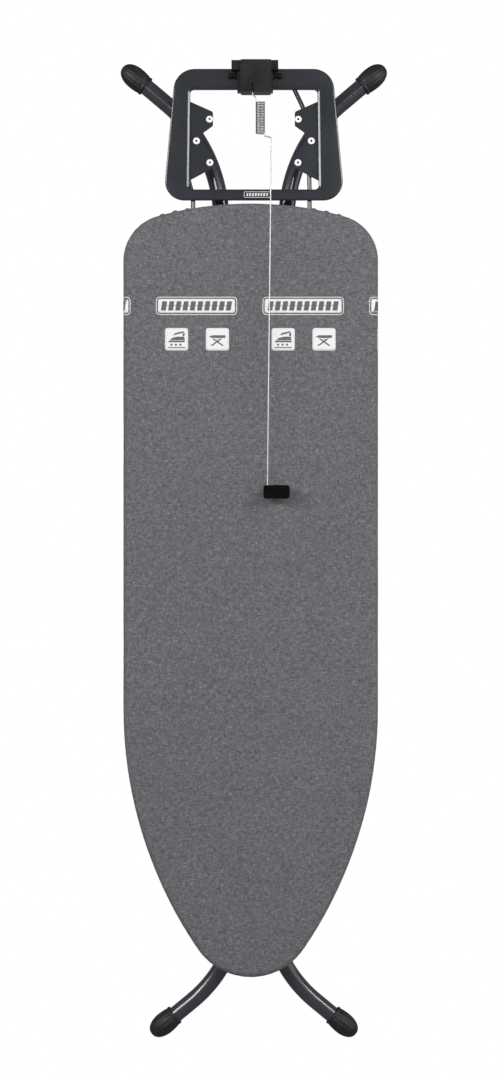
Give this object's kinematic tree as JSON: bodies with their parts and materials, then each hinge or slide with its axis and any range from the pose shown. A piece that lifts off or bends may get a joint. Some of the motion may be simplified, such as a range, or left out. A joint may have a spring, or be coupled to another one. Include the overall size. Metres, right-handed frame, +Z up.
{
  "type": "ironing board",
  "caption": "Folding ironing board, folded flat: padded board with a tapered nose, scissor legs, a height latch, an iron rest and a sprung cable holder.",
  "frame": {"origin": "middle of the folded board's length and width, at the level that its four feet lie on", "axes": "+Z up out of the ironing face, +Y from the nose to the iron rest, +X to the right of somebody who looks down on the face with the rest away from them"},
  "size_m": [0.4258, 1.551, 0.1105],
  "materials": {
    "cover_fabric": "grey melange woven cotton",
    "felt_pad": "needled felt",
    "board_shell": "moulded, ribbed underneath",
    "leg_paint": "gloss anthracite",
    "rest_paint": "satin anthracite",
    "foot_rubber": "matt, ribbed",
    "black_plastic": "fine spark eroded",
    "zinc_steel": "zinc plated",
    "spring_wire": "bright drawn wire",
    "silicone_white": "satin"
  },
  "bodies": {
    "board": {"board_body": "board_shell", "ironing_pad": "felt_pad", "cover": "cover_fabric", "rail_left": "zinc_steel", "rail_right": "zinc_steel", "hinge_bracket_left": "rest_paint", "hinge_bracket_right": "rest_paint", "hinge_shaft": "zinc_steel", "mounting_screws": "zinc_steel", "lever_bearing_inner": "black_plastic", "lever_bearing_outer": "black_plastic", "link_bearing": "black_plastic", "iron_rest_frame": "rest_paint", "rest_bracket_left": "rest_paint", "rest_bracket_right": "rest_paint", "rest_pads": "silicone_white", "rest_hoop": "rest_paint", "holder_body": "black_plastic", "holder_jaw": "black_plastic", "holder_screws": "black_plastic"},
    "leg_inner": {"inner_tube_left": "leg_paint", "inner_tube_right": "leg_paint", "inner_ear_left": "leg_paint", "inner_ear_right": "leg_paint", "inner_top_brace": "leg_paint", "inner_foot_brace": "leg_paint", "inner_foot_left": "foot_rubber", "inner_foot_right": "foot_rubber", "inner_tube_plugs": "black_plastic", "pivot_bushes": "black_plastic"},
    "leg_outer": {"outer_tube_left": "leg_paint", "outer_tube_right": "leg_paint", "outer_ear_left": "leg_paint", "outer_ear_right": "leg_paint", "outer_foot_brace": "leg_paint", "outer_foot_left": "foot_rubber", "outer_foot_right": "foot_rubber", "outer_tube_plugs": "black_plastic", "pivot_bolt": "zinc_steel", "pivot_nut": "zinc_steel", "pivot_washers": "zinc_steel", "slider_shaft": "zinc_steel"},
    "slider": {"glide_left": "black_plastic", "glide_right": "black_plastic"},
    "latch_lever": {"lever_shaft": "zinc_steel", "lever_paddle": "black_plastic", "crank_pin": "zinc_steel"},
    "latch_bar": {"latch_bar": "zinc_steel"},
    "latch_link": {"latch_link": "zinc_steel", "link_pin": "zinc_steel"},
    "cable_arm": {"swivel_barrel": "black_plastic", "holder_wire_base": "spring_wire", "holder_spring": "spring_wire"},
    "cable_wire": {"holder_wire": "spring_wire"},
    "cord_clip": {"cord_clip": "black_plastic"}
  },
  "joints": [
    {"name": "leg_fold", "type": "hinge", "parent": "board", "child": "leg_inner", "pos_m": [0, 0.486, 0.041], "axis": [1, 0, 0], "range_deg": [0, 46]},
    {"name": "leg_cross", "type": "hinge", "parent": "leg_inner", "child": "leg_outer", "pos_m": [0, 0, 0.017], "axis": [1, 0, 0], "range_deg": [-92, 0]},
    {"name": "glide_turn", "type": "hinge", "parent": "leg_outer", "child": "slider", "pos_m": [0, -0.486, 0.041], "axis": [1, 0, 0], "range_deg": [0, 46]},
    {"name": "height_lever", "type": "hinge", "parent": "board", "child": "latch_lever", "pos_m": [0, 0.33, 0.041], "axis": [1, 0, 0], "range_deg": [0, 28]},
    {"name": "latch_lift", "type": "hinge", "parent": "latch_lever", "child": "latch_bar", "pos_m": [0, 0.34766, 0.03161], "axis": [1, 0, 0], "range_deg": [-28, 0]},
    {"name": "link_swing", "type": "hinge", "parent": "board", "child": "latch_link", "pos_m": [0, -0.545, 0.041], "axis": [1, 0, 0], "range_deg": [0, 28]},
    {"name": "cable_arm_tilt", "type": "hinge", "parent": "board", "child": "cable_arm", "pos_m": [-0.002, 0.722, 0.103], "axis": [-1, 0, 0], "range_deg": [0, 95]},
    {"name": "cable_wire_flex", "type": "hinge", "parent": "cable_arm", "child": "cable_wire", "pos_m": [0.01, 0.674, 0.103], "axis": [0, 0, 1], "range_deg": [-25, 25], "stiffness_Nm_per_rad": 0.4, "deforming": ["holder_spring"]},
    {"name": "cord_clip_turn", "type": "hinge", "parent": "cable_wire", "child": "cord_clip", "pos_m": [0.021, 0.09, 0.103], "axis": [0, -1, 0], "range_deg": [0, 180]}
  ],
  "couplings": [
    {"joint": "leg_cross", "follows": "leg_fold", "ratio": -2},
    {"joint": "glide_turn", "follows": "leg_fold", "ratio": 1},
    {"joint": "latch_lift", "follows": "height_lever", "ratio": -1},
    {"joint": "link_swing", "follows": "height_lever", "ratio": 1}
  ]
}
